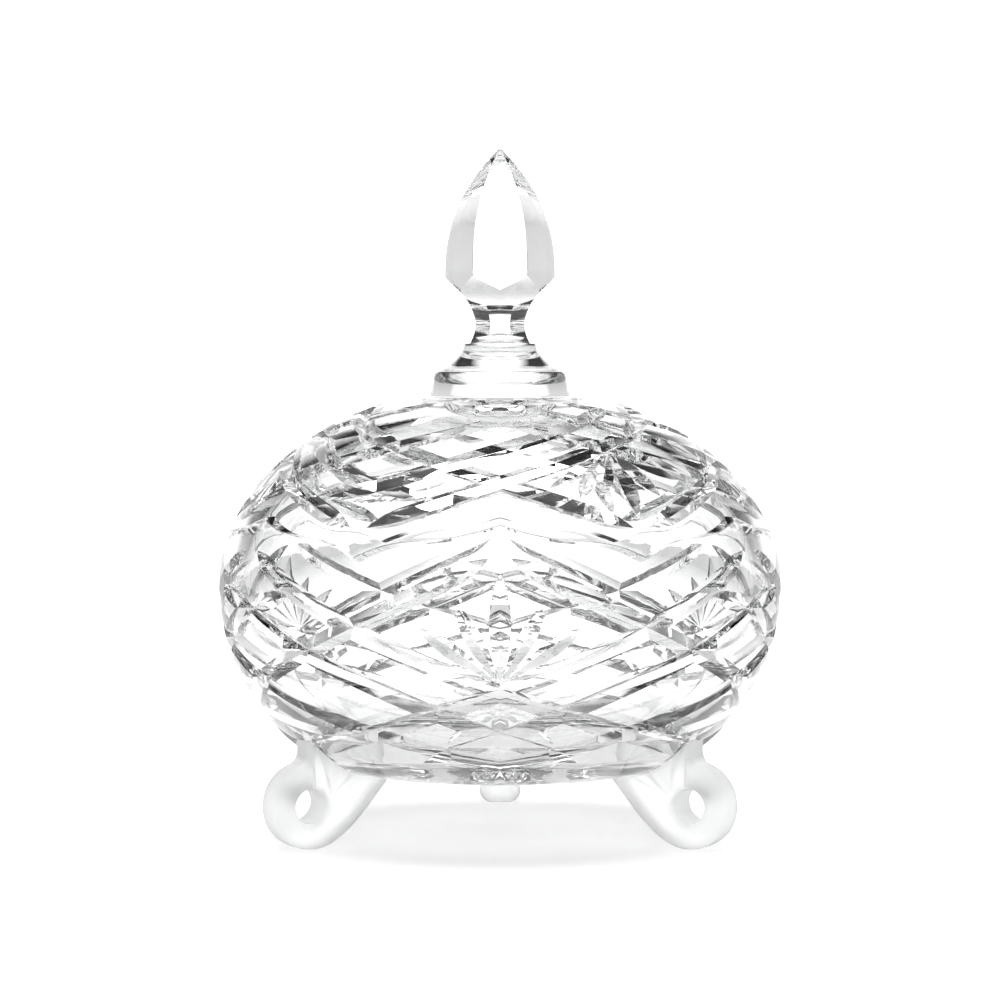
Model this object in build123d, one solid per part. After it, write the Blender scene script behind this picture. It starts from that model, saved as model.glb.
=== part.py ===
from build123d import *
import os
from math import cos, radians, sin, sqrt, tan

# A covered powder jar of heavy clear crystal. A squat oval body stands on three scrolled
# feet and is closed by a domed lid with a six-sided finial. Bowl and lid meet on a wavy
# seam of six tongues, so the lid seats in one of six turns and lifts straight off.
# Frame: millimetres, +Z up, origin on the axis at table level, -Y is the front.

# ---- body: one oval outline shared by bowl and lid ----
BODY_RADIUS = 70.0      # widest radius, at the equator
EQUATOR_Z = 62.0        # height of the widest section above the table
LID_TOP_Z = 109.0       # ground flat that carries the finial
BASE_Z = 16.5           # underside of the bowl
CROWN_CUT = 3.0         # how much of the full oval the lid's flat takes off
BASE_CUT = 12.5         # how much of the full oval the underside takes off
CROWN_RISE = LID_TOP_Z - EQUATOR_Z + CROWN_CUT
BELLY_DROP = EQUATOR_Z - BASE_Z + BASE_CUT
BASE_ROUND = 24.0       # rounding between underside and belly

# ---- hollow ----
SIDE_WALL = 6.0         # wall at the equator
CROWN_WALL = 6.0        # glass under the lid's flat top
FLOOR_WALL = 9.5        # glass under the powder
FLOOR_CUT = 11.0        # how much of the hollow's full oval its floor takes off
HOLLOW_RISE = CROWN_RISE - CROWN_WALL
HOLLOW_DROP = EQUATOR_Z - BASE_Z - FLOOR_WALL + FLOOR_CUT
FLOOR_ROUND = 9.0       # rounding between the inner floor and the wall

# ---- wavy seam ----
TONGUES = 6
VALLEY_Z = EQUATOR_Z + 10.0     # lowest point of the seam on the outside
CREST_Z = VALLEY_Z + 8.0        # highest point of the seam on the outside
SEAM_TILT = 14.0        # degrees the seam face falls towards the inside
LID_CLEARANCE = 0.3     # lid above bowl, along Z
# share of the half pitch, share of the rise: a bracket-shaped wave between two cusps
SEAM_WAVE = [(0.0, 0.0), (0.15, 0.29), (0.31, 0.47), (0.62, 0.60), (0.84, 0.80), (1.0, 1.0)]

# ---- scrolled feet ----
FOOT_ANGLES = {"foot_right": 60.0, "foot_left": -60.0, "foot_back": 180.0}
CURL_REACH = 0.77 * BODY_RADIUS     # middle of the scroll's outside, from the jar's axis
CURL_Z = 10.4           # middle of the scroll's outside, above the table
CURL_RADIUS = 10.6      # outside of the scroll
EYE_OUT = 1.1           # open eye's centre, outwards from the scroll's middle
EYE_UP = 0.2            # open eye's centre, above the scroll's middle
EYE_RADIUS = 4.2        # open eye of the scroll
FOOT_WIDTH = 11.0       # along the eye's axis
LEG_ROUND = 3.0         # rounding along the foot's edges
CREVICE = 0.5           # slot where the scroll's tip meets the leg
SLOT_BACK = 0.4         # slot's distance from the eye's centre, towards the axis
CROOK_ROUND = 1.5       # rounding where the leg leaves the curl
LEG_INNER = 0.443 * BODY_RADIUS     # where the leg leaves the underside, nearest the axis
LEG_OUTER = 0.79 * BODY_RADIUS      # where the leg meets the belly, farthest from the axis
LEG_SINK = 1.5          # how far the leg is drawn into the bowl before it is trimmed to it
BOND_GAP = 0.1          # adhesive film between two bonded pieces of glass

# ---- finial, heights above the lid's flat ----
FACETS = 6
COLLAR_RADIUS = 17.5
COLLAR_TOP_RADIUS = 16.2
COLLAR_HEIGHT = 6.2
FLARE_TOP_RADIUS = 8.9
FLARE_BEND = 2.6        # size of the bend between collar and flare
FLARE_TOP_Z = LID_TOP_Z + 13.2
NECK_Z = LID_TOP_Z + 17.7       # waist
NECK_APOTHEM = 6.0      # half width across the flats at the waist
NECK_FLARE = 1.4        # extra half width where the waist meets the flare
NECK_TOP_Z = LID_TOP_Z + 23.0   # edge between waist and undercut
NECK_TOP_APOTHEM = 7.6
HEAD_Z = LID_TOP_Z + 29.9       # widest level of the head
HEAD_CORNER = 13.65     # corner radius of the head at that level
HEAD_APOTHEM = HEAD_CORNER * cos(radians(180 / FACETS))
HEAD_POWER = 2.35       # fullness of the head: higher keeps it wide for longer
HEAD_SHARES = [0.0, 0.2, 0.4, 0.6, 0.8, 0.92, 1.0]
SHOULDER_OUT = 2.2      # the undercut's flats run out this far past the head's
SHOULDER_UP = 0.4
TIP_Z = LID_TOP_Z + 61.9
CLEAR = 5.0             # how far tool solids are drawn past the glass they cut

SECTOR = 360.0 / TONGUES
FAR = 2 * BODY_RADIUS   # reaches past every solid


def polar(angle):
    """Unit vector in plan at an angle from the front, turning towards +X."""
    return Vector(sin(radians(angle)), -cos(radians(angle)), 0)


def half_oval(radius, rise, drop, z_low, z_high):
    """Right half of an oval about the equator, cut flat at two heights."""
    upper = Ellipse(radius, rise) & Pos(radius / 2, rise / 2) * Rectangle(radius, rise)
    lower = Ellipse(radius, drop) & Pos(radius / 2, -drop / 2) * Rectangle(radius, drop)
    middle = (z_low + z_high) / 2 - EQUATOR_Z
    band = Pos(radius / 2, middle) * Rectangle(radius, z_high - z_low)
    return Pos(0, EQUATOR_Z) * ((upper + lower) & band)


def turned(profile):
    """Turns a half outline drawn as (radius, height) about the jar's axis."""
    return Rot(0, 0, SECTOR / 5) * revolve(Plane.XZ * profile, axis=Axis.Z)


def rim_at(solid, z):
    """The circular edges of a turned solid that lie at height z."""
    return solid.edges().filter_by(GeomType.CIRCLE).filter_by_position(Axis.Z, z - 0.01, z + 0.01)


def blank(grow=0.0):
    """Outside of the closed jar, optionally grown by a film thickness."""
    oval = half_oval(
        BODY_RADIUS + grow, CROWN_RISE + grow, BELLY_DROP + grow, BASE_Z - grow, LID_TOP_Z + grow
    )
    solid = turned(oval)
    return fillet(rim_at(solid, BASE_Z - grow), BASE_ROUND)


def hollow():
    """Space inside the closed jar."""
    oval = half_oval(
        BODY_RADIUS - SIDE_WALL,
        HOLLOW_RISE,
        HOLLOW_DROP,
        BASE_Z + FLOOR_WALL,
        LID_TOP_Z - CROWN_WALL,
    )
    solid = turned(oval)
    return fillet(rim_at(solid, BASE_Z + FLOOR_WALL), FLOOR_ROUND)


def crown_radius(z):
    """Outer radius of the upper oval at a height."""
    return BODY_RADIUS * sqrt(1 - ((z - EQUATOR_Z) / CROWN_RISE) ** 2)


def tongue(angle):
    """Everything above the seam in one sector: a prism whose lower face is the wave."""
    out = polar(angle)
    tilt = radians(SEAM_TILT)
    reach = crown_radius(VALLEY_Z)
    facing = Plane(
        origin=out * reach + Vector(0, 0, VALLEY_Z),
        x_dir=polar(angle + 90),
        z_dir=out * cos(tilt) + Vector(0, 0, sin(tilt)),
    )
    wave = []
    for share, lift in SEAM_WAVE:
        z = VALLEY_Z + lift * (CREST_Z - VALLEY_Z)
        turn = radians(share * SECTOR / 2)
        radius = crown_radius(z)
        up = cos(tilt) * (z - VALLEY_Z) - sin(tilt) * (radius * cos(turn) - reach)
        wave.append((radius * sin(turn), up))
    right = Spline(*wave)
    left = Spline(*[(-x, y) for x, y in wave])
    edge_x, edge_y = wave[-1]
    slope = (edge_y - wave[-2][1]) / (edge_x - wave[-2][0])
    side_x = BODY_RADIUS
    side_y = edge_y + slope * (side_x - edge_x)
    closing = Polyline(
        (edge_x, edge_y),
        (side_x, side_y),
        (side_x, FAR),
        (-side_x, FAR),
        (-side_x, side_y),
        (-edge_x, edge_y),
    )
    face = make_face([right, closing, left])
    prism = extrude(facing * face, amount=FAR, both=True)
    half_plan = FAR * tan(radians(SECTOR / 2))
    plan = Polyline((0, 0), (FAR, -half_plan), (FAR, half_plan), (0, 0))
    wedge = extrude(Rot(0, 0, angle - 90) * make_face(plan), amount=FAR)
    return prism & wedge


def above_seam():
    """Everything above the seam, all six tongues."""
    whole = tongue(SECTOR / 2)
    for step in range(1, TONGUES):
        whole = whole + tongue(SECTOR / 2 + step * SECTOR)
    return whole


def belly_z(reach):
    """Height of the bowl's outside at a distance from the axis, below the equator."""
    return EQUATOR_Z - BELLY_DROP * sqrt(1 - (reach / BODY_RADIUS) ** 2)


def foot_outline():
    """Side view of a foot as (distance from the axis, height): a leg running into a round curl."""
    heel_in = CURL_RADIUS / 3
    heel_drop = sqrt(CURL_RADIUS**2 - heel_in**2)
    heel = (CURL_REACH - heel_in, CURL_Z - heel_drop)
    knee = (LEG_INNER, BASE_Z + LEG_SINK)
    shin = (knee[0] + 0.55 * (heel[0] - knee[0]), heel[1] + 0.42 * (knee[1] - heel[1]))
    top = belly_z(LEG_OUTER) + 2 * LEG_SINK
    under = Spline(knee, shin, heel, tangents=[(1, -1), (heel_drop, -heel_in)])
    over = Polyline(
        heel,
        (CURL_REACH, CURL_Z),
        (LEG_OUTER - LEG_SINK, CURL_Z + 0.8 * CURL_RADIUS),
        (LEG_OUTER + 0.5, top),
        (LEG_INNER - 0.5, top),
        knee,
    )
    side_view = make_face([under, over]) + Pos(CURL_REACH, CURL_Z) * Circle(CURL_RADIUS)
    crook = side_view.vertices().filter_by_position(Axis.Y, CURL_Z + CURL_RADIUS / 2, top - 0.1)
    return fillet(crook.sort_by(Axis.X)[-1], CROOK_ROUND)


def foot(angle):
    """A thick leg of glass that leaves the underside, bends outwards and curls up on itself."""
    strap = CURL_RADIUS - EYE_RADIUS
    solid = extrude(Plane.XZ * foot_outline(), amount=FOOT_WIDTH / 2, both=True)
    flanks = solid.faces().sort_by(Axis.Y)
    solid = fillet(flanks[0].edges() + flanks[-1].edges(), LEG_ROUND)
    eye_at = Pos(CURL_REACH + EYE_OUT, CURL_Z + EYE_UP)
    eye = eye_at * Circle(EYE_RADIUS)
    slot = eye_at * Pos(-SLOT_BACK, EYE_RADIUS + strap / 2) * Rectangle(CREVICE, 1.5 * strap)
    opening = extrude(Plane.XZ * (eye + slot), amount=FOOT_WIDTH, both=True)
    under_table = Pos(0, 0, -FAR / 2) * Box(2 * FAR, 2 * FAR, FAR)
    trimmed = solid - opening - under_table - blank(BOND_GAP)
    return Rot(0, 0, angle - 90) * trimmed


def six_sided(half, first_angle):
    """Six like faces: three slabs of one symmetrical outline, crossed. Half is its +X side."""
    low = half[0] @ 0
    high = half[-1] @ 1
    mirrored = [mirror(edge, about=Plane.YZ) for edge in half]
    bottom = Line((low.X, low.Y), (-low.X, low.Y))
    ends = [bottom] if high.X < 0.001 else [bottom, Line((high.X, high.Y), (-high.X, high.Y))]
    flat = make_face(half + mirrored + ends)
    whole = None
    for step in range(FACETS // 2):
        turn = Rot(0, 0, first_angle + step * 360 / FACETS)
        slab = turn * extrude(Plane.XZ * flat, amount=FAR, both=True)
        whole = slab if whole is None else whole & slab
    return whole


def head_half():
    """Across two flats of the pointed head: upright at the shoulder, drawn in to a point."""
    wide = COLLAR_RADIUS + CLEAR
    below = NECK_TOP_Z - SHOULDER_OUT
    height = TIP_Z - HEAD_Z
    skirt = Polyline((wide, LID_TOP_Z), (wide, below), (HEAD_APOTHEM, below), (HEAD_APOTHEM, HEAD_Z))
    rise = [(HEAD_APOTHEM * (1 - share**HEAD_POWER), HEAD_Z + height * share) for share in HEAD_SHARES]
    return skirt.edges() + [Spline(*rise)]


def neck_half():
    """Across two flats of the waist and of the undercut below the head's shoulder."""
    wide = COLLAR_RADIUS + CLEAR
    ankle = (NECK_APOTHEM + NECK_FLARE, FLARE_TOP_Z)
    edge = (NECK_TOP_APOTHEM, NECK_TOP_Z)
    shoulder = (HEAD_APOTHEM + SHOULDER_OUT, HEAD_Z + SHOULDER_UP)
    middle = ((edge[0] + shoulder[0]) / 2 - 0.5, (edge[1] + shoulder[1]) / 2 + 0.2)
    skirt = Polyline((wide, LID_TOP_Z), (wide, FLARE_TOP_Z), ankle)
    waist = Spline(ankle, (NECK_APOTHEM, NECK_Z), edge)
    undercut = Spline(edge, middle, shoulder)
    above = Polyline(shoulder, (wide, shoulder[1]), (wide, TIP_Z + CLEAR))
    return skirt.edges() + [waist, undercut] + above.edges()


def finial():
    """Round collar and flare, six-sided waist and six-sided pointed head, in one piece."""
    foot_z = LID_TOP_Z + BOND_GAP
    collar_z = LID_TOP_Z + COLLAR_HEIGHT
    outline = Polyline(
        (0, foot_z),
        (COLLAR_RADIUS, foot_z),
        (COLLAR_TOP_RADIUS, collar_z),
        (FLARE_TOP_RADIUS + FLARE_BEND, collar_z + FLARE_BEND),
        (FLARE_TOP_RADIUS, FLARE_TOP_Z),
        (HEAD_CORNER + 1, FLARE_TOP_Z),
        (HEAD_CORNER + 1, TIP_Z + 1),
        (0, TIP_Z + 1),
        (0, foot_z),
    )
    envelope = turned(make_face(outline))
    return envelope & six_sided(head_half(), 180 / FACETS) & six_sided(neck_half(), 0)


def jar():
    """Every piece of the jar by name."""
    upper = above_seam()
    shell = blank() - hollow()
    pieces = {
        "bowl": shell - upper,
        "lid": shell & (Pos(0, 0, LID_CLEARANCE) * upper),
        "finial": finial(),
    }
    for name, angle in FOOT_ANGLES.items():
        pieces[name] = foot(angle)
    return pieces


os.makedirs("parts", exist_ok=True)
for name, piece in jar().items():
    export_step(piece, f"parts/{name}.step")
    print(name, len(piece.solids()), "solid", round(piece.volume), "mm3")
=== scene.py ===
# %% [markdown]
# # A covered powder jar of cut crystal
# This lesson builds the looks of a vanity jar: a squat oval bowl on three scrolled feet, closed by a
# domed lid with a six-sided finial. All of it is glass, so nearly all that the eye sees is made by
# shape: smooth skins bend light gently, and each ground groove breaks it. The plan is to work out
# smooth glass blanks with numpy, cut the pattern into them with wheel-shaped cutters, and light the
# result so that most of the room is white and a little of it is dark.

import math

import bpy
import numpy as np
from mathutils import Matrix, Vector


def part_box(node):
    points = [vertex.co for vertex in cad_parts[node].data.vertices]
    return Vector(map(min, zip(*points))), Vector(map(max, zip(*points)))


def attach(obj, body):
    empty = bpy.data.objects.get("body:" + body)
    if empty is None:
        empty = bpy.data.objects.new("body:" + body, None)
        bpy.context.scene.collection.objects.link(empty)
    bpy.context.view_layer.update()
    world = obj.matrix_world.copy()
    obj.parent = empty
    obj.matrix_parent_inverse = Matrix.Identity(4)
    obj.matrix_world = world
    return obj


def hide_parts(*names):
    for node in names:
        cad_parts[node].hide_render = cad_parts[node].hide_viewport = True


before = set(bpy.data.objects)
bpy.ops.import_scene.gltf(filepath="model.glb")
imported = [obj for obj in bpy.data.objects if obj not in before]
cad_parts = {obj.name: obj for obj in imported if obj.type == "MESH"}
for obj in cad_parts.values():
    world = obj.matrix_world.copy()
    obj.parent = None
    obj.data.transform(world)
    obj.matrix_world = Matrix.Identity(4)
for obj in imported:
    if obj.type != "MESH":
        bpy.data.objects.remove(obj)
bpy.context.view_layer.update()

# %% [markdown]
# ## Measures
# The frame gives the real places: how wide the bowl is, where its underside and the lid's flat top
# lie, and how high the finial reaches. What the frame's boxes don't give, such as the height of the
# widest section, is named here in millimetres once, so that every later formula can use it.

# %% Measures of the jar
MM = 0.001
BODY_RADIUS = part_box("bowl")[1].x
BASE_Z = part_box("bowl")[0].z
LID_TOP_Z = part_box("lid")[1].z
TIP_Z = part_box("finial")[1].z
EQUATOR_Z = 62 * MM
CROWN_RISE = 50 * MM
BELLY_DROP = 58 * MM
BASE_ROUND = 24 * MM
SIDE_WALL = 6 * MM
CROWN_WALL = 6 * MM
FLOOR_WALL = 9.5 * MM
HOLLOW_RISE = 44 * MM
HOLLOW_DROP = 47 * MM
FLOOR_ROUND = 9 * MM
VALLEY_Z = 72 * MM
CREST_Z = 80 * MM
SEAM_DROP = 1.6 * MM
LID_CLEARANCE = 0.3 * MM
FAN_TURNS = np.radians([0.0, 120.0, 240.0])
ALL_TURNS = np.radians([0.0, 60.0, 120.0, 180.0, 240.0, 300.0])
print("radius", round(BODY_RADIUS / MM, 2), "tip", round(TIP_Z / MM, 2))

# %% [markdown]
# ## A skin from a grid of points
# A turned or carried shape is a grid: rows run along its profile, columns run round it. The helper
# below takes such a grid of points, closes it round the columns and closes each end with one pole
# point, so the skin is watertight and every face looks outwards. Watertight matters for glass,
# because the renderer follows a ray in through one face and out through another.

# %% A closed skin from a grid
def closed_skin(name, rings, poles, copies=(0.0,)):
    """Mesh object from rings[row, column, xyz] closed round the columns, with a pole before the first row
    and one after the last. Each face joins (row, column) to (row + 1, column + 1); each pole is a fan.
    copies are turns about the jar's axis, each adding one more shell to the same mesh."""
    rows, columns = rings.shape[:2]
    points = np.concatenate([[poles[0]], rings.reshape(-1, 3), [poles[1]]])
    row = np.arange(rows - 1)[:, None] * columns + 1
    here = np.arange(columns)[None, :]
    after = (here + 1) % columns
    quads = np.stack([row + here, row + after, row + columns + after, row + columns + here], -1)
    last = (rows - 1) * columns + 1
    top = rows * columns + 1
    fan_low = np.stack([np.zeros(columns, int), 1 + after[0], 1 + here[0]], -1)
    fan_high = np.stack([last + here[0], last + after[0], np.full(columns, top)], -1)
    quads = quads.reshape(-1, 4)
    fans = np.concatenate([fan_low, fan_high])
    if swept_volume(points, quads, fans) < 0:
        quads = quads[:, ::-1]
        fans = fans[:, ::-1]
    shift = len(points)
    shells = [turned_about_axis(points, angle) for angle in copies]
    steps = range(len(copies))
    corners = np.concatenate([np.concatenate([quads.ravel() + n * shift for n in steps]),
                              np.concatenate([fans.ravel() + n * shift for n in steps])])
    sizes = np.concatenate([np.full(len(quads) * len(copies), 4), np.full(len(fans) * len(copies), 3)])
    mesh = bpy.data.meshes.new(name)
    every = np.concatenate(shells)
    mesh.vertices.add(len(every))
    mesh.vertices.foreach_set("co", every.astype(np.float32).ravel())
    mesh.loops.add(len(corners))
    mesh.loops.foreach_set("vertex_index", corners.astype(np.int32))
    mesh.polygons.add(len(sizes))
    starts = np.concatenate([[0], np.cumsum(sizes)[:-1]])
    mesh.polygons.foreach_set("loop_start", starts.astype(np.int32))
    mesh.update(calc_edges=True)
    mesh.validate()
    piece = bpy.data.objects.new(name, mesh)
    bpy.context.scene.collection.objects.link(piece)
    return piece


def swept_volume(points, quads, fans):
    """Volume inside the skin: a sixth of corner a . (corner b x corner c), summed over its triangles.
    It is negative when the faces look inwards."""
    triangles = np.concatenate([quads[:, [0, 1, 2]], quads[:, [0, 2, 3]], fans])
    a, b, c = (points[triangles[:, k]] for k in range(3))
    return np.einsum("ij,ij->i", a, np.cross(b, c)).sum() / 6


def turned_about_axis(points, angle):
    """Points turned about the jar's axis: x and y mix by the angle's cosine and sine, z stays."""
    c = math.cos(angle)
    s = math.sin(angle)
    x = points[..., 0] * c - points[..., 1] * s
    y = points[..., 0] * s + points[..., 1] * c
    return np.stack([x, y, points[..., 2]], -1)


def around(azimuth, radius, z):
    """Point at an azimuth from the front (-Y), turning towards +X: (r sin a, -r cos a, z)."""
    return np.stack([radius * np.sin(azimuth), -radius * np.cos(azimuth), z + 0 * azimuth], -1)


def smooth_through(xs, ys, x):
    """Natural cubic spline: the curve through (xs, ys) whose slope and bend never jump, read at x."""
    xs = np.asarray(xs, float)
    ys = np.asarray(ys, float)
    gap = np.diff(xs)
    slope = np.diff(ys) / gap
    bend = np.zeros(len(xs))
    if len(xs) > 2:
        system = np.diag(2 * (gap[:-1] + gap[1:])) + np.diag(gap[1:-1], 1) + np.diag(gap[1:-1], -1)
        bend[1:-1] = np.linalg.solve(system, 6 * np.diff(slope))
    n = np.clip(np.searchsorted(xs, x) - 1, 0, len(gap) - 1)
    left = xs[n + 1] - x
    right = x - xs[n]
    width = gap[n]
    curve = (bend[n] * left**3 + bend[n + 1] * right**3) / (6 * width)
    from_left = (ys[n] / width - bend[n] * width / 6) * left
    from_right = (ys[n + 1] / width - bend[n + 1] * width / 6) * right
    return curve + (from_left + from_right)


# %% [markdown]
# ## The oval blanks
# Bowl and lid come from one oval: two half ellipses that meet at the widest section, a flat
# underside rounded into the belly, and a flat ground top. Its outline is worked out once as a dense
# line with its length, outside and inside. Any height on the glass can then be looked up, which the
# wavy seam and all the cuts need.

# %% The jar's outline, outside and inside
def outline(radius, rise, drop, low_z, high_z, rounding, count=3000):
    """Half outline from the axis at low_z to the axis at high_z, as (r, z) rows.
    Below and above the equator r = radius * sqrt(1 - (dz / half height)^2). Where the lower ellipse
    meets the flat, a ball of the rounding's radius rolled inside touches both: its centre is one
    rounding above the flat and one rounding in from the ellipse."""
    t = np.linspace(-np.pi / 2, np.pi / 2, count)
    r = radius * np.cos(t)
    half = np.where(t < 0, drop, rise)
    z = EQUATOR_Z + half * np.sin(t)
    normal = np.stack([np.cos(t) / radius, np.sin(t) / half], -1)
    normal /= np.linalg.norm(normal, axis=1)[:, None]
    centre_z = z - rounding * normal[:, 1]
    touch = np.interp(low_z + rounding, centre_z[: count // 2], t[: count // 2])
    touch_r = np.interp(touch, t, r) - rounding * np.interp(touch, t, normal[:, 0])
    arc_end = np.interp(touch, t, np.arctan2(normal[:, 1], normal[:, 0]))
    arc = np.linspace(-np.pi / 2, arc_end, 200)[:-1]
    keep = (t >= touch) & (z < high_z)
    top_r = np.interp(high_z, z, r)
    flat = np.linspace(0, touch_r, 60)[:-1]
    top = np.linspace(top_r, 0, 60)
    rs = np.concatenate([flat, touch_r + rounding * np.cos(arc), r[keep], top])
    arc_z = low_z + rounding + rounding * np.sin(arc)
    zs = np.concatenate([flat * 0 + low_z, arc_z, z[keep], top * 0 + high_z])
    return np.stack([rs, zs], -1)


def lengths(line):
    """Running length along a line of points, starting at zero."""
    return np.concatenate([[0], np.cumsum(np.linalg.norm(np.diff(line, axis=0), axis=1))])


outside = outline(BODY_RADIUS, CROWN_RISE, BELLY_DROP, BASE_Z, LID_TOP_Z, BASE_ROUND)
inside = outline(
    BODY_RADIUS - SIDE_WALL,
    HOLLOW_RISE,
    HOLLOW_DROP,
    BASE_Z + FLOOR_WALL,
    LID_TOP_Z - CROWN_WALL,
    FLOOR_ROUND,
)
outside_length = lengths(outside)
inside_length = lengths(inside)
print("outline outside", round(outside_length[-1] / MM, 1), "mm")
print("outline inside", round(inside_length[-1] / MM, 1), "mm")


def length_at(z, line, length):
    """Running length at which the outline's wall reaches height z, between its two flats."""
    wall = (line[:, 1] > line[0, 1] + 1e-6) & (line[:, 1] < line[-1, 1] - 1e-6)
    return np.interp(z, line[wall, 1], length[wall])


def on_outline(s, line, length):
    """(r, z) of the outline at running length s."""
    return np.interp(s, length, line[:, 0]), np.interp(s, length, line[:, 1])


# %% [markdown]
# ## The wavy seam
# The rims of bowl and lid are ground to one wave with six tongues. Each half wave is the same
# bracket shape, so the seam's height is a function of the azimuth folded into one half pitch. The
# columns of the grid fall exactly on the cusps, which keeps those points crisp.

# %% The seam's height
SEAM_SHARE = [0.0, 0.15, 0.31, 0.62, 0.84, 1.0]
SEAM_LIFT = [0.0, 0.29, 0.47, 0.60, 0.80, 1.0]


def seam_z(azimuth):
    """Height of the seam: the azimuth's distance from the nearest valley, as a share of 30 degrees,
    read on the bracket-shaped lift curve between valley and crest."""
    folded = np.abs((np.degrees(azimuth) - 30 + 30) % 60 - 30) / 30
    lift = smooth_through(SEAM_SHARE, SEAM_LIFT, np.clip(folded, 0, 1))
    return VALLEY_Z + (CREST_Z - VALLEY_Z) * lift


COLUMNS = 360
BOWL_OUTSIDE_ROWS = 90
BOWL_INSIDE_ROWS = 60
LID_INSIDE_ROWS = 50
LID_OUTSIDE_ROWS = 70
azimuths = np.radians(np.arange(COLUMNS) * 360 / COLUMNS)


def wall_rows(line, length, start, stop, count):
    """Grid rows along an outline between two running lengths that may differ from column to column."""
    share = np.linspace(0, 1, count)[:, None]
    s = start + (stop - start) * share
    r, z = on_outline(s, line, length)
    return around(np.broadcast_to(azimuths, s.shape), r, z)


def rim_rows(outer, inner, count=3):
    """Rows straight across the seam's ground face from the outer edge to the inner one."""
    share = np.linspace(0, 1, count + 2)[1:-1, None, None]
    return outer + (inner - outer) * share


def bowl_blank():
    """Outside from the axis up to the seam, across the rim, and down the inside to the axis."""
    edge = seam_z(azimuths)
    outer_rim = length_at(edge, outside, outside_length)
    outer = wall_rows(outside, outside_length, 0 * edge, outer_rim, BOWL_OUTSIDE_ROWS)[1:]
    inner_rim = length_at(edge - SEAM_DROP, inside, inside_length)
    inner = wall_rows(inside, inside_length, inner_rim, 0 * edge, BOWL_INSIDE_ROWS)[:-1]
    rings = np.concatenate([outer, rim_rows(outer[-1], inner[0]), inner])
    return closed_skin("bowl_blank", rings, [(0, 0, BASE_Z), (0, 0, BASE_Z + FLOOR_WALL)])


def lid_blank():
    """Inside from the axis down to the seam, across the rim, and up the outside to the axis."""
    edge = seam_z(azimuths) + LID_CLEARANCE
    crown = inside_length[-1] + 0 * edge
    inner_rim = length_at(edge - SEAM_DROP, inside, inside_length)
    inner = wall_rows(inside, inside_length, crown, inner_rim, LID_INSIDE_ROWS)[1:]
    outer_rim = length_at(edge, outside, outside_length)
    top = outside_length[-1] + 0 * edge
    outer = wall_rows(outside, outside_length, outer_rim, top, LID_OUTSIDE_ROWS)[:-1]
    rings = np.concatenate([inner, rim_rows(inner[-1], outer[0]), outer])
    return closed_skin("lid_blank", rings, [(0, 0, LID_TOP_Z - CROWN_WALL), (0, 0, LID_TOP_Z)])


# %% [markdown]
# ## Wheel cuts
# A cutter's wheel has a V-shaped edge. Run along the glass it leaves a mitre: two flat facets that
# meet in a crease, narrowing to a point where the wheel enters and leaves. Each cut is therefore a
# V-shaped bar carried along a path on the surface, and a boolean takes it away. Because the bar's
# slope stays the same, a shallower cut is also a narrower one, as with a real wheel.

# %% A mitre bar along a path on the outside
PATH_STEPS = 600
TURN_WEIGHT = 1.1
BAR_ABOVE = 1.2 * MM
BAR_REACH = 6 * MM
BAR_LEAST_DEPTH = 0.02 * MM
BAR_POINT = 0.05 * MM


def surface_path(turns, heights, count):
    """Points and outward normals along the outside where the azimuth runs through turns (degrees) and
    the height through heights (mm), both smoothly, spaced evenly along the path. Between two of the
    given places a degree of azimuth counts as TURN_WEIGHT millimetres."""
    nodes = np.concatenate([[0], np.cumsum(np.hypot(np.diff(turns) * TURN_WEIGHT, np.diff(heights)))])
    fine = np.linspace(0, nodes[-1], PATH_STEPS)
    azimuth = np.radians(smooth_through(nodes, turns, fine))
    z = smooth_through(nodes, heights, fine) * MM
    r, z = on_outline(length_at(z, outside, outside_length), outside, outside_length)
    line = around(azimuth, r, z)
    s = lengths(line)
    even = np.linspace(0, s[-1], count)
    points = np.stack([np.interp(even, s, line[:, k]) for k in range(3)], -1)
    azimuth = np.interp(even, s, azimuth)
    z = points[:, 2]
    half = np.where(z < EQUATOR_Z, BELLY_DROP, CROWN_RISE)
    lean = np.arctan2((z - EQUATOR_Z) / half**2, np.hypot(points[:, 0], points[:, 1]) / BODY_RADIUS**2)
    normal = np.stack([np.sin(azimuth) * np.cos(lean), -np.cos(azimuth) * np.cos(lean), np.sin(lean)], -1)
    return points, normal, even


def mitre_bar(name, points, normal, half_width, depth, turns):
    """Closed V bar: under each path point the crease lies depth below the surface, and the two flanks
    rise through the surface half_width away and on to a lid line above it. All are offsets of the path
    point along the normal and along the sideways direction (tangent x normal)."""
    tangent = np.gradient(points, axis=0)
    tangent /= np.linalg.norm(tangent, axis=1)[:, None]
    side = np.cross(tangent, normal)
    side /= np.linalg.norm(side, axis=1)[:, None]
    reach = (half_width * (1 + BAR_ABOVE / np.maximum(depth, BAR_LEAST_DEPTH)))[:, None]
    reach = np.minimum(reach, BAR_REACH)
    down = points - normal * depth[:, None]
    up = points + normal * BAR_ABOVE
    ring = np.stack([down, up + side * reach, up - side * reach], 1)
    ends = [ring[0].mean(0) - tangent[0] * BAR_POINT, ring[-1].mean(0) + tangent[-1] * BAR_POINT]
    return closed_skin(name, ring, ends, turns)


def carve(piece, cutters, name, operation="DIFFERENCE"):
    """Takes the cutters out of the piece with booleans, or with INTERSECT keeps only what lies inside
    them all, and makes the result one new mesh."""
    for cutter in cutters:
        step = piece.modifiers.new(cutter.name, "BOOLEAN")
        step.operation = operation
        step.solver = "MANIFOLD"
        step.object = cutter
    return settle(piece, cutters, name)


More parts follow.
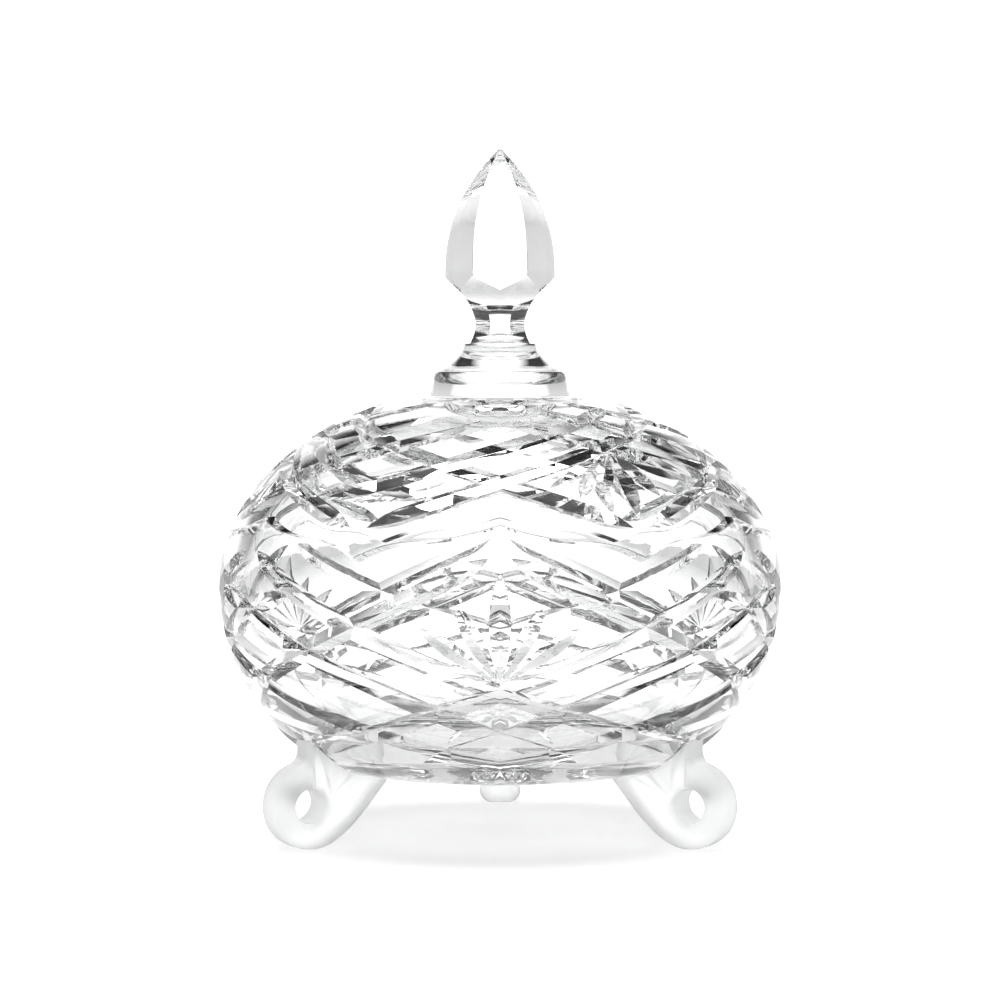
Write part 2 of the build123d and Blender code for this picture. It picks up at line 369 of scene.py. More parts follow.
def settle(piece, helpers, name):
    """Makes the piece's modifiers part of its mesh and removes the helper objects."""
    bpy.context.view_layer.update()
    graph = bpy.context.evaluated_depsgraph_get()
    mesh = bpy.data.meshes.new_from_object(piece.evaluated_get(graph))
    mesh.name = name
    done = bpy.data.objects.new(name, mesh)
    bpy.context.scene.collection.objects.link(done)
    for helper in [piece, *helpers]:
        bpy.data.objects.remove(helper)
    faces = np.zeros(len(mesh.polygons), np.int32)
    mesh.polygons.foreach_get("loop_total", faces)
    print(name, int((faces - 2).sum()), "triangles")
    return done


# %% [markdown]
# ## The pattern
# Six pairs of long mitre bands start under the crests of the seam and swing down the belly both
# ways, so they cross in a lattice of diamonds. Every second diamond column holds a fan of five
# leaves. The other three hold a second, inner pair of bands. The lid carries the same pattern
# upside down and turned by half a tongue.

# %% Long bands
BAND_HALF = 2.4 * MM
BAND_DEPTH = 2.0 * MM
BAND_STEPS = 90
LEAD_IN = 9 * MM


def band(name, turns, heights, copies):
    """A mitre of one width that tapers to a point at both ends: depth share = 1 - (1 - s / lead)^2."""
    points, normal, s = surface_path(turns, heights, BAND_STEPS)
    near = np.clip(np.minimum(s, s[-1] - s) / LEAD_IN, 0.02, 1)
    share = 1 - (1 - near) ** 2
    return mitre_bar(name, points, normal, BAND_HALF * share, BAND_DEPTH * share, copies)


def both_ways(name, centre, turns, heights, copies):
    """A band and its mirror image about the meridian of centre (degrees)."""
    turns = np.asarray(turns, float)
    return [
        band(name + "_right", centre + turns, heights, copies),
        band(name + "_left", centre - turns, heights, copies),
    ]


# %% [markdown]
# ## The leaves
# A fan is five short mitres that spring from one point. A leaf is widest just past its middle, so its
# width follows a sine whose share of the length is bent a little towards the tip. A bigger leaf is
# also a deeper one, because one wheel cuts them all.

# %% Fans of leaves
LEAF_DEPTH = 1.9 * MM
LEAF_FULL_HALF = 2.4 * MM
LEAF_STEPS = 40
LEAF_SPREAD = 0.06


def leaf(name, base, tip, half, copies):
    """A short mitre from base to tip (azimuth degrees, height mm), pointed at both ends and fullest a
    little past its middle: width share = sin(pi * (s / length)^1.2)^0.8."""
    turns = [base[0], (base[0] + tip[0]) / 2, tip[0]]
    heights = [base[1], (base[1] + tip[1]) / 2, tip[1]]
    points, normal, s = surface_path(turns, heights, LEAF_STEPS)
    share = np.maximum(np.sin(np.pi * (s / s[-1]) ** 1.2), 0.02) ** 0.8
    depth = LEAF_DEPTH * half / LEAF_FULL_HALF
    return mitre_bar(name, points, normal, half * share, depth * share, copies)


BOWL_LEAVES = [(0, 68.9, 2.6), (8.3, 61.5, 2.1), (-8.3, 61.5, 2.1), (16.1, 57, 2.0), (-16.1, 57, 2.0)]
LID_LEAVES = [(0, 81.5, 2.6), (7.8, 86.3, 2.2), (-7.8, 86.3, 2.2), (15.8, 89.8, 2.0), (-15.8, 89.8, 2.0)]


def fan(name, centre, root, leaves):
    """Leaves that spring from the height root at the meridian of centre (degrees). Each row of leaves
    holds its tip's turn from that meridian, its tip's height and its half width in millimetres."""
    cutters = []
    for n, (turn, top, half) in enumerate(leaves):
        base = (centre + turn * LEAF_SPREAD, root)
        cutters.append(leaf(f"{name}_{n}", base, (centre + turn, top), half * MM, FAN_TURNS))
    return cutters


# %% [markdown]
# ## Where each band runs
# A band is laid out as a cutter marks the glass with a pen: a few places on the way, each an angle
# round the jar and a height in millimetres. A smooth curve through them guides the wheel.

# %% Layout of bowl and lid
BOWL_LONG = ([2.2, 30, 60, 90, 128], [72.6, 56, 41.5, 30.5, 21.5])
BOWL_INNER = ([-15, 0, 15.4, 24.5, 49, 62, 80], [62.8, 58.6, 50.6, 46.4, 34.9, 29.5, 23.5])
BOWL_FAN_ROOT = 44.5
LID_LONG = ([2.0, 30, 60, 90, 118], [79.2, 89.5, 97.6, 103.6, 107.6])
LID_INNER = ([-14, 0, 15.4, 24.5, 49, 62, 80], [86.2, 88.4, 93.2, 95.8, 101.4, 103.8, 106.4])
LID_FAN_ROOT = 96.6


def bowl_cutters():
    """Everything that is ground into the bowl's belly."""
    long = both_ways("bowl_long", 0, *BOWL_LONG, ALL_TURNS)
    inner = both_ways("bowl_inner", 60, *BOWL_INNER, FAN_TURNS)
    return long + inner + fan("bowl_leaf", 0, BOWL_FAN_ROOT, BOWL_LEAVES)


def lid_cutters():
    """Everything that is ground into the lid's dome."""
    long = both_ways("lid_long", 30, *LID_LONG, ALL_TURNS)
    inner = both_ways("lid_inner", 90, *LID_INNER, FAN_TURNS)
    return long + inner + fan("lid_leaf", 30, LID_FAN_ROOT, LID_LEAVES)


# %% [markdown]
# ## The star under the base
# The flat underside is ground with a many-pointed star. It is one shallow cutter: a disc whose
# underside is flat and whose top rises into ridges, each ridge being the inside of one ray.

# %% Base star
STAR_RAYS = 16
STAR_RADIUS = 33 * MM
STAR_DEPTH = 1.6 * MM
STAR_UNDER = 1.0 * MM


def star_cutter():
    """Ridged disc: height = depth * max(0, 1 - |folded azimuth| / half width(r)), where a ray's half
    width shrinks to nothing at the star's rim and the rays touch each other near the middle."""
    columns = STAR_RAYS * 16
    azimuth = np.linspace(0, 2 * np.pi, columns, endpoint=False)
    pitch = 2 * np.pi / STAR_RAYS
    folded = np.abs((azimuth + pitch / 2) % pitch - pitch / 2) / (pitch / 2)
    r = np.linspace(2 * MM, STAR_RADIUS, 24)[:, None]
    share = r / STAR_RADIUS
    width = np.clip(1.35 * (1 - share), 0.001, 1)
    rise = STAR_DEPTH * np.clip(1 - folded / width, 0, 1) * np.minimum(1, 4 * (1 - share))
    top = around(azimuth + 0 * r, r + 0 * azimuth, BASE_Z - 0.02 * MM + rise)
    low = around(azimuth + 0 * r, r + 0 * azimuth, BASE_Z - STAR_UNDER + 0 * rise)
    rings = np.concatenate([low, top[::-1]])
    return closed_skin("star", rings, [(0, 0, BASE_Z - STAR_UNDER), (0, 0, BASE_Z + STAR_DEPTH * 0.9)])


# %% [markdown]
# ## Grinding
# Each blank meets all of its cutters at once. The result replaces the blank, and the cutters go.

# %% Grind bowl and lid
bowl = carve(bowl_blank(), bowl_cutters() + [star_cutter()], "cut_bowl")
lid = carve(lid_blank(), lid_cutters(), "cut_lid")

# %% [markdown]
# ## The finial
# The finial is a turned blank ground flat on six sides, twice: the pointed head has its flats to
# the front, and the waist and undercut have theirs turned by half a flat, which gives the zigzag
# shoulder. A flat that follows a curved outline is a plank with that outline. Crossing three
# planks with the blank leaves all six flats at once.

# %% Finial
HEAD_Z = 138.9 * MM
HEAD_CORNER = 13.65 * MM
HEAD_POWER = 2.35
NECK_TOP_Z = 132 * MM
FLARE_TOP_Z = 122.2 * MM
BOND_GAP = 0.1 * MM
PLANK_WIDE = 25 * MM
PLANK_DEEP = 30 * MM
WAIST_CURVE = ([122.2, 126.7, 132.0], [7.4, 6.0, 7.6])
UNDERCUT_CURVE = ([132.0, 134.2, 137.2, 139.3], [7.6, 9.2, 12.2, 14.2])
COLLAR_Z = [109.1, 110.5, 112.0, 113.6, 114.8, 115.2]
COLLAR_R = [17.5, 17.3, 17.0, 16.6, 16.3, 16.0]
FLARE_CURVE = ([115.2, 116.2, 117.7, 119.2, 120.7, 122.2], [15.6, 13.6, 11.6, 10.2, 9.3, 8.9])
FLARE_START = 115.35


def plank(name, half_widths, heights, turn):
    """Slab with a mirrored outline (half width against height), PLANK_DEEP to each side of the axis and
    turned about it. Its two outlines are joined by edge faces and closed by caps fanned from the axis."""
    loop_x = np.concatenate([half_widths, -half_widths[::-1]])
    loop_z = np.concatenate([heights, heights[::-1]])
    depth = np.array([-PLANK_DEEP, PLANK_DEEP])[:, None]
    rings = np.stack([loop_x + 0 * depth, depth + 0 * loop_x, loop_z + 0 * depth], -1)
    middle = np.array([[0, -PLANK_DEEP, heights.mean()], [0, PLANK_DEEP, heights.mean()]])
    return closed_skin(name, turned_about_axis(rings, turn), turned_about_axis(middle, turn))


def head_outline():
    """Half width across the head's flats: the shoulder's, drawn in by share^power towards the tip."""
    flat = HEAD_CORNER * math.cos(math.pi / 6)
    share = np.linspace(0, 1, 40)
    width = flat * (1 - share**HEAD_POWER)
    z = HEAD_Z + (TIP_Z - HEAD_Z) * share
    low = [LID_TOP_Z - 2 * MM, NECK_TOP_Z - 1.5 * MM]
    widths = np.concatenate([[PLANK_WIDE, PLANK_WIDE, flat], width])
    heights = np.concatenate([low, [NECK_TOP_Z - 1.49 * MM], z])
    return widths, heights


def waist_outline():
    """Half width across the waist's flats and the undercut, both smooth, meeting in an edge."""
    z_low = np.linspace(FLARE_TOP_Z, NECK_TOP_Z, 14)
    w_low = smooth_through(*WAIST_CURVE, z_low / MM) * MM
    z_high = np.linspace(NECK_TOP_Z, HEAD_Z + 0.4 * MM, 12)
    w_high = smooth_through(*UNDERCUT_CURVE, z_high / MM) * MM
    wide = [PLANK_WIDE, PLANK_WIDE]
    below = [LID_TOP_Z - 2 * MM, FLARE_TOP_Z - 0.01 * MM]
    above = [HEAD_Z + 0.41 * MM, TIP_Z + 3 * MM]
    widths = np.concatenate([wide, w_low, w_high[1:], wide])
    heights = np.concatenate([below, z_low, z_high[1:], above])
    return widths, heights


def finial_blank():
    """Turned blank: a short cone for the collar, a hollow-curved flare, then a plain cylinder."""
    flare_z = np.linspace(FLARE_START, FLARE_CURVE[0][-1], 14)
    flare_r = smooth_through(*FLARE_CURVE, flare_z)
    z = np.concatenate([COLLAR_Z, flare_z, [FLARE_CURVE[0][-1] + 0.05, TIP_Z / MM + 1]]) * MM
    r = np.concatenate([COLLAR_R, flare_r, [20, 20]]) * MM
    rings = around(azimuths + 0 * r[:, None], r[:, None] + 0 * azimuths, z[:, None])
    return closed_skin("finial_blank", rings, [(0, 0, z[0]), (0, 0, z[-1])])


def grind_finial():
    """The blank kept only where it lies inside all six planks."""
    blank = finial_blank()
    planks = []
    for n in range(3):
        planks.append(plank(f"head_{n}", *head_outline(), math.pi / 6 + n * math.pi / 3))
        planks.append(plank(f"waist_{n}", *waist_outline(), n * math.pi / 3))
    return carve(blank, planks, "cut_finial", "INTERSECT")


finial = grind_finial()

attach(bowl, "bowl")
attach(lid, "lid")
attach(finial, "lid")

# %% [markdown]
# ## The scrolled feet
# Each foot is one thick strap of glass: a leg that leaves the underside and curls up into a round
# scroll with an open eye. Its side view is an outline made of a circle and a bending leg, and the
# edges are fire-rounded. The rounding is worked out by drawing the outline again and again, a little
# smaller each time, while moving towards the flank.

# %% Scrolled feet
FEET = {"foot_right": 60.0, "foot_left": -60.0, "foot_back": 180.0}
CURL_REACH = 53.9 * MM
CURL_Z = 10.4 * MM
CURL_RADIUS = 10.6 * MM
CURL_START = math.radians(-109)
CURL_STOP = math.radians(72)
EYE_REACH = CURL_REACH + 1.1 * MM
EYE_Z = CURL_Z + 0.2 * MM
EYE_RADIUS = 4.2 * MM
FOOT_HALF = 5.5 * MM
FOOT_ROUND = 3.4 * MM
LEG_IN = 31.0 * MM
LEG_OUT = 55.6 * MM
LEG_TOP_Z = 31.0 * MM
EYE_FLARE = 1.4 * MM
SLOT_BACK = 0.4 * MM
CUT_PAST = 8 * MM


def bezier(a, b, c, d, count):
    """Cubic Bezier from a to d, pulled towards b and c: the four points weighted by
    (1-t)^3, 3t(1-t)^2, 3t^2(1-t) and t^3."""
    t = np.linspace(0, 1, count)[:, None]
    a, b, c, d = [np.asarray(p, float) for p in (a, b, c, d)]
    return a * (1 - t) ** 3 + 3 * b * t * (1 - t) ** 2 + 3 * c * t**2 * (1 - t) + d * t**3


def foot_outline():
    """Closed side view, counter-clockwise, as (distance from axis, height): the leg's underside runs
    tangent into the scroll's circle, the circle runs round to the crook, and a small bend leads up the
    leg's outer side to a level line hidden in the bowl."""
    arc = np.linspace(CURL_START, CURL_STOP, 120)
    curl = np.stack([CURL_REACH + CURL_RADIUS * np.cos(arc), CURL_Z + CURL_RADIUS * np.sin(arc)], -1)
    tangent_in = np.array([-math.sin(CURL_START), math.cos(CURL_START)])
    tangent_out = np.array([-math.sin(CURL_STOP), math.cos(CURL_STOP)])
    top = np.array([LEG_OUT, LEG_TOP_Z])
    crook = bezier(curl[-1], curl[-1] + tangent_out * 2.6 * MM, top - [0.6 * MM, 7.5 * MM], top, 30)
    level = np.linspace(top, [LEG_IN - 1 * MM, LEG_TOP_Z], 24)
    knee = np.array([LEG_IN, 18 * MM])
    drop = np.linspace([LEG_IN - 1 * MM, LEG_TOP_Z], knee, 12)
    under = bezier(knee, knee + [6.5 * MM, -6.3 * MM], curl[0] - tangent_in * 8 * MM, curl[0], 50)
    line = np.concatenate([curl[:-1], crook[:-1], level[:-1], drop[:-1], under[:-1]])
    closed = np.concatenate([line, line[:1]])
    s = lengths(closed)
    even = np.linspace(0, s[-1], 241)[:-1]
    return np.stack([np.interp(even, s, closed[:, k]) for k in range(2)], -1)


def drawn_in(line, inset):
    """The outline moved inwards along its own normals by an inset, for a closed line."""
    along = np.roll(line, -1, 0) - np.roll(line, 1, 0)
    along /= np.linalg.norm(along, axis=1)[:, None]
    inward = np.stack([-along[:, 1], along[:, 0]], -1)
    return line + inward * inset


def foot_blank():
    """Rows across the foot's width: at an angle a the flank lies at half - round + round * sin a and the
    outline is drawn in by round * (1 - cos a). Points below the table are pressed flat onto it."""
    line = foot_outline()
    a = np.radians(np.linspace(90, 0, 10))
    flank = FOOT_HALF - FOOT_ROUND + FOOT_ROUND * np.sin(a)
    inset = FOOT_ROUND * (1 - np.cos(a))
    flank = np.concatenate([flank, -flank[::-1]])
    inset = np.concatenate([inset, inset[::-1]])
    shapes = np.stack([drawn_in(line, d) for d in inset])
    out = shapes[..., 0]
    rings = np.stack([out, flank[:, None] + 0 * out, np.maximum(shapes[..., 1], 0)], -1)
    heart = [50 * MM, 13 * MM]
    caps = [(heart[0], flank[0], heart[1]), (heart[0], flank[-1], heart[1])]
    return closed_skin("foot_blank", rings, caps)


def eye_cutter():
    """Round hole along the foot's width whose mouth flares in a quarter round at each flank."""
    mouth = np.linspace(-FOOT_HALF, -FOOT_HALF + EYE_FLARE, 8)
    across = np.concatenate([[-CUT_PAST, -FOOT_HALF - 0.01 * MM], mouth])
    across = np.concatenate([across, [0], -across[::-1]])
    u = np.clip((np.abs(across) - (FOOT_HALF - EYE_FLARE)) / EYE_FLARE, 0, 1)
    r = EYE_RADIUS + EYE_FLARE * (1 - np.sqrt(1 - u**2))
    turn = np.linspace(0, 2 * np.pi, 72, endpoint=False)
    x = EYE_REACH + r[:, None] * np.cos(turn)
    z = EYE_Z + r[:, None] * np.sin(turn)
    rings = np.stack([x, across[:, None] + 0 * x, z], -1)
    return closed_skin("eye", rings, [(EYE_REACH, across[0], EYE_Z), (EYE_REACH, across[-1], EYE_Z)])


def slot_cutter():
    """Thin wedge between the scroll's tip and the leg, from the eye up to the bowl."""
    x = EYE_REACH - SLOT_BACK
    corners = np.array([
        [x - 0.25 * MM, EYE_Z + 2 * MM],
        [x + 0.25 * MM, EYE_Z + 2 * MM],
        [x + 0.30 * MM, CURL_Z + CURL_RADIUS + 1 * MM],
        [x - 0.30 * MM, CURL_Z + CURL_RADIUS + 1 * MM],
    ])
    across = np.array([CUT_PAST, -CUT_PAST])[:, None]
    out = corners[:, 0]
    rings = np.stack([out + 0 * across, across + 0 * out, corners[:, 1] + 0 * across], -1)
    middle = corners.mean(0)
    caps = [(middle[0], CUT_PAST, middle[1]), (middle[0], -CUT_PAST, middle[1])]
    return closed_skin("slot", rings, caps)


def belly_cutter():
    """The bowl's smooth outside grown by the adhesive film, as a closed solid."""
    grown = outline(
        BODY_RADIUS + BOND_GAP,
        CROWN_RISE + BOND_GAP,
        BELLY_DROP + BOND_GAP,
        BASE_Z - BOND_GAP,
        LID_TOP_Z,
        BASE_ROUND,
    )
    s = lengths(grown)
    rows = np.linspace(0, s[-1], 160)[1:-1]
    r, z = on_outline(rows, grown, s)
    rings = around(azimuths + 0 * r[:, None], r[:, None] + 0 * azimuths, z[:, None])
    return closed_skin("belly", rings, [(0, 0, grown[0, 1]), (0, 0, LID_TOP_Z)])


def turn_mesh(piece, angle):
    """Turns a mesh's points about the jar's axis, leaving its object at the origin."""
    points = np.zeros(len(piece.data.vertices) * 3, np.float32)
    piece.data.vertices.foreach_get("co", points)
    turned = turned_about_axis(points.reshape(-1, 3), angle)
    piece.data.vertices.foreach_set("co", turned.astype(np.float32).ravel())
    piece.data.update()


feet = {}
for node, degrees in FEET.items():
    foot = carve(foot_blank(), [eye_cutter(), slot_cutter(), belly_cutter()], "curled_" + node)
    turn_mesh(foot, math.radians(degrees - 90))
    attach(foot, "bowl")
    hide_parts(node)
    feet[node] = foot

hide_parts("bowl")
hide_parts("lid")
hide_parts("finial")

# %% [markdown]
# ## Crisp cuts, smooth skins
# Blender shades a face smoothly when its corners share one averaged normal. On cut glass that must
# stop at each ground edge. Marking every edge sharper than a small angle keeps the blown skin
# smooth and the facets flat. On the feet a large flat flank runs into a narrow rounding, and there
# the large face decides the shared normal, so the flank shades as flat as it is.

# %% Shade smooth, sharp at ground edges
GROUND_EDGE = 11
FOOT_EDGE = 30


def shade(piece, sharp_degrees):
    """All faces smooth, then edges whose two faces meet at more than the angle are marked sharp."""
    mesh = piece.data
    mesh.polygons.foreach_set("use_smooth", np.ones(len(mesh.polygons), bool))
    mesh.set_sharp_from_angle(angle=math.radians(sharp_degrees))
    mesh.update()


for piece in (bowl, lid, finial):
    shade(piece, GROUND_EDGE)
for foot in feet.values():
    shade(foot, FOOT_EDGE)
    weighted = foot.modifiers.new("flat_flanks", "WEIGHTED_NORMAL")
    weighted.keep_sharp = True

# %% [markdown]
# ## The glass
# Clear crystal is almost nothing but refraction: a plain transmission of one, a high index and a
# very low roughness. What keeps it from looking computed is the maker's hand: the polish leaves a
# faint, slow waviness and a breath of haze. One node group gives both, read in object
# coordinates so that it stays on the glass when the lid is lifted. The glass also takes a little
# light away along every millimetre. A ray straight through a wall hardly notices, but one that runs
# along inside the wall comes out grey, and that draws the jar's outline and its grooves. The feet
# are finely etched: the same glass with a far higher roughness, so they glow softly, like satin, and
# show no sharp picture of the room.

# %% Node group: hand polish
def polish_group():
    """Outputs a height that wanders slowly over the surface and a roughness between two given values."""
    group = bpy.data.node_groups.new("hand_polish", "ShaderNodeTree")
    face = group.interface
    face.new_socket("Wave Scale", in_out="INPUT", socket_type="NodeSocketFloat")
    face.new_socket("Haze Low", in_out="INPUT", socket_type="NodeSocketFloat")
    face.new_socket("Haze High", in_out="INPUT", socket_type="NodeSocketFloat")
    face.new_socket("Height", in_out="OUTPUT", socket_type="NodeSocketFloat")
    face.new_socket("Haze", in_out="OUTPUT", socket_type="NodeSocketFloat")
    nodes = group.nodes
    links = group.links
    inlet = nodes.new("NodeGroupInput")
    outlet = nodes.new("NodeGroupOutput")
    place = nodes.new("ShaderNodeTexCoord")
    wave = nodes.new("ShaderNodeTexNoise")
    wave.inputs["Detail"].default_value = 1.0
    links.new(place.outputs["Object"], wave.inputs["Vector"])
    links.new(inlet.outputs["Wave Scale"], wave.inputs["Scale"])
    links.new(wave.outputs["Fac"], outlet.inputs["Height"])
    haze = nodes.new("ShaderNodeTexNoise")
    haze.inputs["Scale"].default_value = 60.0
    haze.inputs["Detail"].default_value = 3.0
    links.new(place.outputs["Object"], haze.inputs["Vector"])
    spread = nodes.new("ShaderNodeMapRange")
    links.new(haze.outputs["Fac"], spread.inputs["Value"])
    links.new(inlet.outputs["Haze Low"], spread.inputs["To Min"])
    links.new(inlet.outputs["Haze High"], spread.inputs["To Max"])
    links.new(spread.outputs["Result"], outlet.inputs["Haze"])
    return group


HAND_POLISH = polish_group()


# %% [markdown]
# ## Three finishes
# The cut pieces, the finial and the feet differ only in numbers: how much the glass dims light in a
# metre, how long and how deep the polish waves are, and between which two values the roughness
# wanders. One function makes all three.

# %% The glass of each piece
CLEAR = (0.995, 0.998, 1.0)


def crystal(name, index, density, wave_scale, wave_depth, haze):
    """Glass: full transmission, the given index and absorption per metre, with the hand polish on
    roughness, between the two haze values, and on the bump."""
    material = bpy.data.materials.new(name)
    material.use_nodes = True
    nodes = material.node_tree.nodes
    links = material.node_tree.links
    glass = nodes["Principled BSDF"]
    glass.inputs["Base Color"].default_value = (*CLEAR, 1)
    glass.inputs["Transmission Weight"].default_value = 1.0
    glass.inputs["IOR"].default_value = index
    polish = nodes.new("ShaderNodeGroup")
    polish.node_tree = HAND_POLISH
    polish.inputs["Wave Scale"].default_value = wave_scale
    polish.inputs["Haze Low"].default_value = haze[0]
    polish.inputs["Haze High"].default_value = haze[1]
    bump = nodes.new("ShaderNodeBump")
    bump.inputs["Strength"].default_value = 1.0
    bump.inputs["Distance"].default_value = wave_depth
    links.new(polish.outputs["Height"], bump.inputs["Height"])
    links.new(bump.outputs["Normal"], glass.inputs["Normal"])
    links.new(polish.outputs["Haze"], glass.inputs["Roughness"])
    depth = nodes.new("ShaderNodeVolumeAbsorption")
    depth.inputs["Color"].default_value = (0.0, 0.0, 0.0, 1)
    depth.inputs["Density"].default_value = density
    links.new(depth.outputs["Volume"], nodes["Material Output"].inputs["Volume"])
    return material


cut_crystal = crystal(
    "cut_crystal", index=1.54, density=5.5, wave_scale=25.0, wave_depth=0.03 * MM, haze=(0.0, 0.012)
)
polished_crystal = crystal(
    "polished_crystal", index=1.54, density=4.0, wave_scale=20.0, wave_depth=0.04 * MM, haze=(0.0, 0.02)
)
satin_crystal = crystal(
    "satin_crystal", index=1.5, density=0.5, wave_scale=20.0, wave_depth=0.04 * MM, haze=(0.55, 0.7)
)


def dress(piece, material):
    """One material on the whole piece."""
    piece.data.materials.clear()
    piece.data.materials.append(material)


dress(bowl, cut_crystal)
dress(lid, cut_crystal)
dress(finial, polished_crystal)
for foot in feet.values():
    dress(foot, satin_crystal)

# %% [markdown]
# ## Room and light
# Glass shows the room. The table is a pale sheet lit from above and a little from below, as on a
# light table, which keeps the shadow thin. The room is white in front of the jar and behind it, and
# its sides are light grey near the table and dark above. Light bent sideways by a groove or by the
# jar's edge ends in the grey or the dark, so grooves and edges are drawn in, while the plain glass in
# the middle stays clear.

# %% Floor, room and lights
TABLE_GLOW = 0.5
TABLE_EDGES = (0.06, 0.35)
TABLE_SIDES = 0.78
ROOM_WHITE = 1.4
ROOM_DARK = 0.02
ROOM_LOW = (0.0, 0.35)
FLAG_SLOPE = 1.4
FLAG_EDGE = (0.72, 0.94)
SOFTBOX_EDGE = (0.92, 0.95)
SOFTBOX_LEVEL = 1.2
SOFTBOX_SPREAD = 50
SUN_STRENGTH = 2.4
TABLE_HALF = 6.0
TABLE_Z = -0.1 * MM


def ramp(nodes, links, value, edges, levels):
    """Map Range from one level to another between two edges, clamped outside them."""
    node = nodes.new("ShaderNodeMapRange")
    links.new(value, node.inputs["Value"])
    for socket, number in zip(("From Min", "From Max", "To Min", "To Max"), (*edges, *levels)):
        node.inputs[socket].default_value = number
    return node.outputs["Result"]


def brighter(nodes, links, first, second):
    """The larger of two values."""
    node = nodes.new("ShaderNodeMath")
    node.operation = "MAXIMUM"
    links.new(first, node.inputs[0])
    links.new(second, node.inputs[1])
    return node.outputs[0]


def pale_floor():
    """Wide flat sheet with a very faint mottling and an even glow of its own. What the glass sees of it
    carries painted shade: to the left and right the lit paint gives way to a flat light grey glow,
    standing in for a table that is lit only in its middle."""
    mesh = bpy.data.meshes.new("floor")
    signs = np.array([(-1, -1), (1, -1), (1, 1), (-1, 1)])
    sheet = np.column_stack([signs * TABLE_HALF, np.full(4, TABLE_Z)])
    mesh.from_pydata(sheet.tolist(), [], [(0, 1, 2, 3)])
    floor = bpy.data.objects.new("floor", mesh)
    bpy.context.scene.collection.objects.link(floor)
    material = bpy.data.materials.new("pale_floor")
    material.use_nodes = True
    nodes = material.node_tree.nodes
    links = material.node_tree.links
    paint = nodes["Principled BSDF"]
    paint.inputs["Roughness"].default_value = 0.9
    paint.inputs["Specular IOR Level"].default_value = 0.1
    paint.inputs["Emission Color"].default_value = (1, 1, 1, 1)
    paint.inputs["Emission Strength"].default_value = TABLE_GLOW
    mottle = nodes.new("ShaderNodeTexNoise")
    place = nodes.new("ShaderNodeTexCoord")
    mottle.inputs["Scale"].default_value = 30.0
    links.new(place.outputs["Object"], mottle.inputs["Vector"])
    tone = nodes.new("ShaderNodeMix")
    tone.data_type = "RGBA"
    tone.inputs[6].default_value = (0.93, 0.93, 0.93, 1)
    tone.inputs[7].default_value = (0.95, 0.95, 0.95, 1)
    links.new(mottle.outputs["Fac"], tone.inputs[0])
    links.new(tone.outputs[2], paint.inputs["Base Color"])
    split = nodes.new("ShaderNodeSeparateXYZ")
    links.new(place.outputs["Object"], split.inputs[0])
    sideways = nodes.new("ShaderNodeMath")
    sideways.operation = "ABSOLUTE"
    links.new(split.outputs["X"], sideways.inputs[0])
    path = nodes.new("ShaderNodeLightPath")
    through_glass = ramp(nodes, links, path.outputs["Is Camera Ray"], (0.0, 1.0), (1.0, 0.0))
    far_out = ramp(nodes, links, sideways.outputs[0], TABLE_EDGES, (0.0, 1.0))
    share = nodes.new("ShaderNodeMath")
    share.operation = "MULTIPLY"
    links.new(through_glass, share.inputs[0])
    links.new(far_out, share.inputs[1])
    # painted shade: glass rays far to the side see this flat grey glow instead of the lit table
    dim = nodes.new("ShaderNodeEmission")
    dim.inputs["Strength"].default_value = TABLE_SIDES
    blend = nodes.new("ShaderNodeMixShader")
    links.new(share.outputs[0], blend.inputs[0])
    links.new(paint.outputs[0], blend.inputs[1])
    links.new(dim.outputs[0], blend.inputs[2])
    links.new(blend.outputs[0], nodes["Material Output"].inputs["Surface"])
    mesh.materials.append(material)


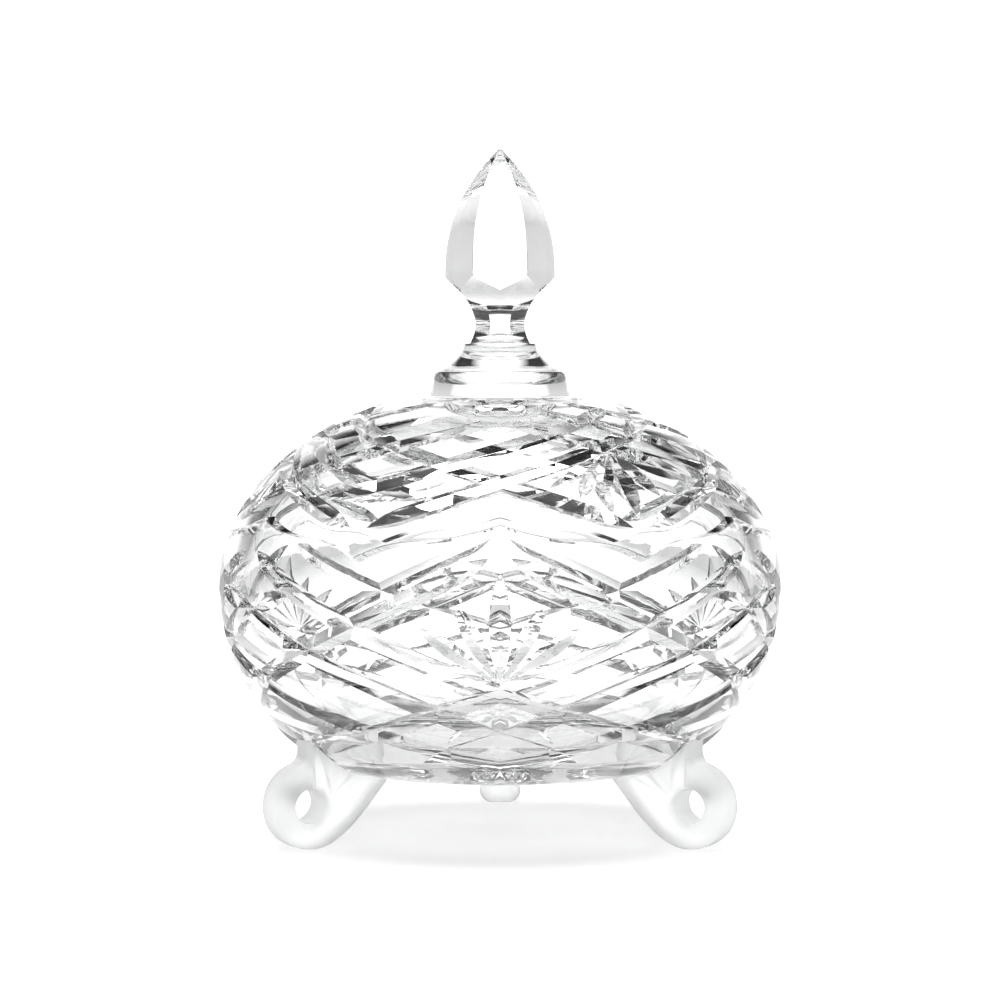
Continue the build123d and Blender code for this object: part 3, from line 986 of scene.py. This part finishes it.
def room():
    """World from a direction (x, y, z): white while z + slope * |x| is small, dark beyond, and white
    again straight overhead. Near the horizon the dark fades into the grey of the table's sides. Seen
    directly, past the jar, the world is plain white."""
    world = bpy.data.worlds.new("studio")
    bpy.context.scene.world = world
    world.use_nodes = True
    nodes = world.node_tree.nodes
    links = world.node_tree.links
    nodes.clear()
    place = nodes.new("ShaderNodeTexCoord")
    split = nodes.new("ShaderNodeSeparateXYZ")
    links.new(place.outputs["Generated"], split.inputs[0])
    sideways = nodes.new("ShaderNodeMath")
    sideways.operation = "ABSOLUTE"
    links.new(split.outputs["X"], sideways.inputs[0])
    reach = nodes.new("ShaderNodeMath")
    reach.operation = "MULTIPLY_ADD"
    links.new(sideways.outputs[0], reach.inputs[0])
    reach.inputs[1].default_value = FLAG_SLOPE
    links.new(split.outputs["Z"], reach.inputs[2])
    path = nodes.new("ShaderNodeLightPath")
    walls = ramp(nodes, links, reach.outputs[0], FLAG_EDGE, (ROOM_WHITE, ROOM_DARK))
    softbox = ramp(nodes, links, split.outputs["Z"], SOFTBOX_EDGE, (ROOM_DARK, SOFTBOX_LEVEL))
    direct = ramp(nodes, links, path.outputs["Is Camera Ray"], (0.0, 1.0), (0.0, ROOM_WHITE))
    low_walls = ramp(nodes, links, split.outputs["Z"], ROOM_LOW, (TABLE_SIDES, ROOM_DARK))
    sides = brighter(nodes, links, walls, low_walls)
    level = brighter(nodes, links, brighter(nodes, links, sides, softbox), direct)
    light = nodes.new("ShaderNodeBackground")
    links.new(level, light.inputs["Color"])
    out = nodes.new("ShaderNodeOutputWorld")
    links.new(light.outputs[0], out.inputs[0])


def wide_sun():
    """Light from straight overhead as wide as a big softbox, and even over the whole table."""
    data = bpy.data.lights.new("overhead", "SUN")
    data.angle = math.radians(SOFTBOX_SPREAD)
    data.energy = SUN_STRENGTH
    light = bpy.data.objects.new("overhead", data)
    bpy.context.scene.collection.objects.link(light)


pale_floor()
room()
wide_sun()
print("table, room and one overhead light are set")

# %% [markdown]
# ## The camera
# A long lens from a little above the table keeps the uprights upright. It looks slightly down, at a
# point on the axis just above the middle of the jar.

# %% Camera
CAMERA_AWAY = 774 * MM
CAMERA_UP = 115.7 * MM
CAMERA_AIM = 83.2 * MM
LENS = 111.6


def camera():
    """Camera in front of the jar, tipped down by the angle whose tangent is (up - aim) / away."""
    data = bpy.data.cameras.new("camera")
    data.lens = LENS
    data.sensor_width = 36
    view = bpy.data.objects.new("camera", data)
    bpy.context.scene.collection.objects.link(view)
    view.location = (0, -CAMERA_AWAY, CAMERA_UP)
    view.rotation_euler = (math.pi / 2 - math.atan2(CAMERA_UP - CAMERA_AIM, CAMERA_AWAY), 0, 0)
    bpy.context.scene.camera = view


camera()
scene = bpy.context.scene
scene.view_settings.view_transform = "Standard"
scene.cycles.max_bounces = 40
scene.cycles.transmission_bounces = 40
scene.cycles.glossy_bounces = 20

# %% A box's corners as plain lists
def corners(box):
    """A box's two corners as plain lists."""
    return [[float(v) for v in corner] for corner in box]
